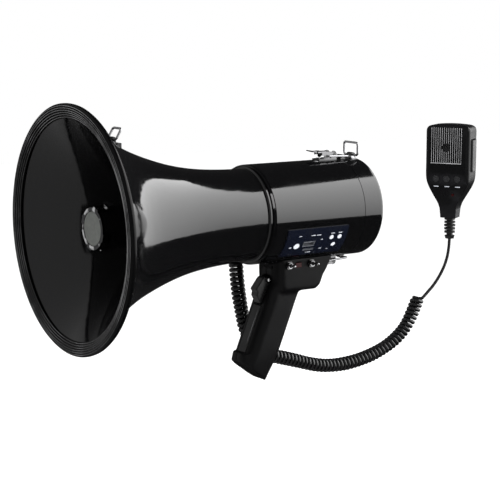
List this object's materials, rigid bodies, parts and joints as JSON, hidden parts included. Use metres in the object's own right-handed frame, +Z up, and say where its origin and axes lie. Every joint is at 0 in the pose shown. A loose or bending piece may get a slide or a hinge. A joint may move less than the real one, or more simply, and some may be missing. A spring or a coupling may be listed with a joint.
{
  "type": "handheld megaphone",
  "caption": "Pistol-grip megaphone: flared folded horn, barrel with control panel and latched battery cover, trigger handle, and a corded hand microphone.",
  "frame": {"origin": "middle of the hand grip", "axes": "+X along the horn axis from the mouth to the battery cover, +Z up from the grip to the barrel, -Y towards the control panel"},
  "size_m": [0.5157, 0.23, 0.2981],
  "materials": {
    "horn_gloss": "high gloss black ABS",
    "rim_rubber": "satin ridged trim",
    "body_gloss": "high gloss black ABS",
    "pod_grey": "matte grey",
    "bright_metal": "bright plated",
    "steel": "plain",
    "panel_navy": "semi gloss",
    "button_white": "smooth",
    "socket_metal": "plain",
    "board_green": "solder mask",
    "inner_black": "moulded",
    "cell_wrap": "shrink wrap over a metal can",
    "grip_matte": "fine grain",
    "grip_rubber": "soft satin",
    "trigger_black": "satin",
    "lens_red": "tinted",
    "cord_black": "semi gloss jacket",
    "mic_black": "satin",
    "seal_rubber": "plain"
  },
  "bodies": {
    "root": {"amplifier_board": "board_green", "barrel": "body_gloss", "battery_cells": "cell_wrap", "battery_contacts": "steel", "battery_tray": "inner_black", "control_panel": "panel_navy", "cord_coil": "cord_black", "cord_gland": "grip_rubber", "cord_tail": "cord_black", "driver_cap": "pod_grey", "driver_diaphragm": "inner_black", "driver_housing": "horn_gloss", "driver_magnet": "steel", "driver_ring": "bright_metal", "front_collar": "body_gloss", "front_strap_bracket": "bright_metal", "grip_strip": "grip_rubber", "handle_far_shell": "grip_matte", "handle_near_shell": "grip_matte", "handle_screws": "steel", "horn_bell": "horn_gloss", "horn_bulkhead": "horn_gloss", "indicator_lens": "lens_red", "latch_bases": "bright_metal", "latch_pins": "bright_metal", "media_sockets": "socket_metal", "rim_trim": "rim_rubber", "toggle_bodies": "bright_metal", "toggle_nuts": "bright_metal", "tone_tube": "horn_gloss", "trigger_pin": "steel", "trigger_spring": "steel", "trigger_switch": "inner_black"},
    "trigger": {"trigger": "trigger_black"},
    "toggle_front": {"toggle_lever_front": "bright_metal"},
    "toggle_rear": {"toggle_lever_rear": "bright_metal"},
    "front_ring": {"front_strap_ring": "bright_metal"},
    "rear_ring": {"rear_strap_ring": "bright_metal"},
    "lever_top": {"latch_lever_top": "bright_metal"},
    "lever_bottom": {"latch_lever_bottom": "bright_metal"},
    "bail_top": {"latch_bail_top": "bright_metal"},
    "bail_bottom": {"latch_bail_bottom": "bright_metal"},
    "cover": {"battery_cover": "body_gloss", "cover_gasket": "seal_rubber", "latch_catches": "bright_metal", "rear_strap_bracket": "bright_metal"},
    "microphone": {"mic_front_shell": "mic_black", "mic_rear_shell": "mic_black", "mic_screws": "steel", "mic_capsule": "steel", "mic_lamp": "lens_red", "mic_strain_relief": "grip_rubber"},
    "talk_lever": {"mic_talk_lever": "trigger_black"},
    "panel_main": {"panel_button_main": "button_white"},
    "panel_play": {"panel_button_play": "button_white"},
    "panel_next": {"panel_button_next": "button_white"},
    "panel_mode": {"panel_button_mode": "button_white"},
    "mic_siren": {"mic_button_siren": "trigger_black"},
    "mic_record": {"mic_button_record": "trigger_black"},
    "mic_play": {"mic_button_play": "trigger_black"}
  },
  "joints": [
    {"name": "trigger_squeeze", "type": "hinge", "parent": "root", "child": "trigger", "pos_m": [-0.0012, 0, 0.049], "axis": [0, -1, 0], "range_deg": [0, 11], "stiffness_Nm_per_rad": 0.35, "springref_deg": -5.73},
    {"name": "toggle_front_switch", "type": "hinge", "parent": "root", "child": "toggle_front", "pos_m": [0.0146, -0.0202, 0.0635], "axis": [0, 0, 1], "range_deg": [-12, 12]},
    {"name": "toggle_rear_switch", "type": "hinge", "parent": "root", "child": "toggle_rear", "pos_m": [0.0412, -0.0202, 0.0634], "axis": [0, 0, 1], "range_deg": [-24, 0]},
    {"name": "panel_main_press", "type": "slide", "parent": "root", "child": "panel_main", "axis": [0, 0.8192, 0.5736], "range_m": [0, 0.0008], "stiffness_N_per_m": 300, "springref_m": -0.0006},
    {"name": "panel_play_press", "type": "slide", "parent": "root", "child": "panel_play", "axis": [0, 0.8949, 0.4462], "range_m": [0, 0.0008], "stiffness_N_per_m": 300, "springref_m": -0.0006},
    {"name": "panel_next_press", "type": "slide", "parent": "root", "child": "panel_next", "axis": [0, 0.8949, 0.4462], "range_m": [0, 0.0008], "stiffness_N_per_m": 300, "springref_m": -0.0006},
    {"name": "panel_mode_press", "type": "slide", "parent": "root", "child": "panel_mode", "axis": [0, 0.7986, 0.6018], "range_m": [0, 0.0008], "stiffness_N_per_m": 300, "springref_m": -0.0006},
    {"name": "front_ring_swing", "type": "hinge", "parent": "root", "child": "front_ring", "pos_m": [-0.17, 0, 0.1946], "axis": [0, 1, 0], "range_deg": [-60, 55]},
    {"name": "rear_ring_swing", "type": "hinge", "parent": "cover", "child": "rear_ring", "pos_m": [0.105, 0, 0.1657], "axis": [0, 1, 0], "range_deg": [-75, 80]},
    {"name": "lever_top_open", "type": "hinge", "parent": "root", "child": "lever_top", "pos_m": [0.079, 0, 0.1682], "axis": [0, 1, 0], "range_deg": [0, 115]},
    {"name": "lever_bottom_open", "type": "hinge", "parent": "root", "child": "lever_bottom", "pos_m": [0.079, 0, 0.0598], "axis": [0, -1, 0], "range_deg": [0, 115]},
    {"name": "bail_top_swing", "type": "hinge", "parent": "lever_top", "child": "bail_top", "pos_m": [0.0705, 0, 0.1666], "axis": [0, 1, 0], "range_deg": [-161.5, 0]},
    {"name": "bail_bottom_swing", "type": "hinge", "parent": "lever_bottom", "child": "bail_bottom", "pos_m": [0.0705, 0, 0.0614], "axis": [0, -1, 0], "range_deg": [-161.5, 0]},
    {"name": "cover_pull", "type": "slide", "parent": "root", "child": "cover", "axis": [1, 0, 0], "range_m": [0, 0.01]},
    {"name": "microphone_lift", "type": "slide", "parent": "root", "child": "microphone", "axis": [0, 0, 1], "range_m": [0, 0.06], "deforming": ["cord_tail", "cord_coil"]},
    {"name": "mic_siren_press", "type": "slide", "parent": "microphone", "child": "mic_siren", "axis": [0.866, 0.5, 0], "range_m": [0, 0.0009], "stiffness_N_per_m": 300, "springref_m": -0.0006},
    {"name": "mic_record_press", "type": "slide", "parent": "microphone", "child": "mic_record", "axis": [0.866, 0.5, 0], "range_m": [0, 0.0009], "stiffness_N_per_m": 300, "springref_m": -0.0006},
    {"name": "mic_play_press", "type": "slide", "parent": "microphone", "child": "mic_play", "axis": [0.866, 0.5, 0], "range_m": [0, 0.0009], "stiffness_N_per_m": 300, "springref_m": -0.0006},
    {"name": "talk_press", "type": "slide", "parent": "microphone", "child": "talk_lever", "axis": [-0.5, 0.866, 0], "range_m": [0, 0.0015], "stiffness_N_per_m": 400, "springref_m": -0.0008}
  ],
  "couplings": [
    {"joint": "lever_top_open", "follows": "cover_pull", "rad_per_m": 200.7},
    {"joint": "lever_bottom_open", "follows": "cover_pull", "rad_per_m": 200.7},
    {"joint": "bail_top_swing", "follows": "cover_pull", "rad_per_m": -280.98},
    {"joint": "bail_bottom_swing", "follows": "cover_pull", "rad_per_m": -280.98}
  ]
}
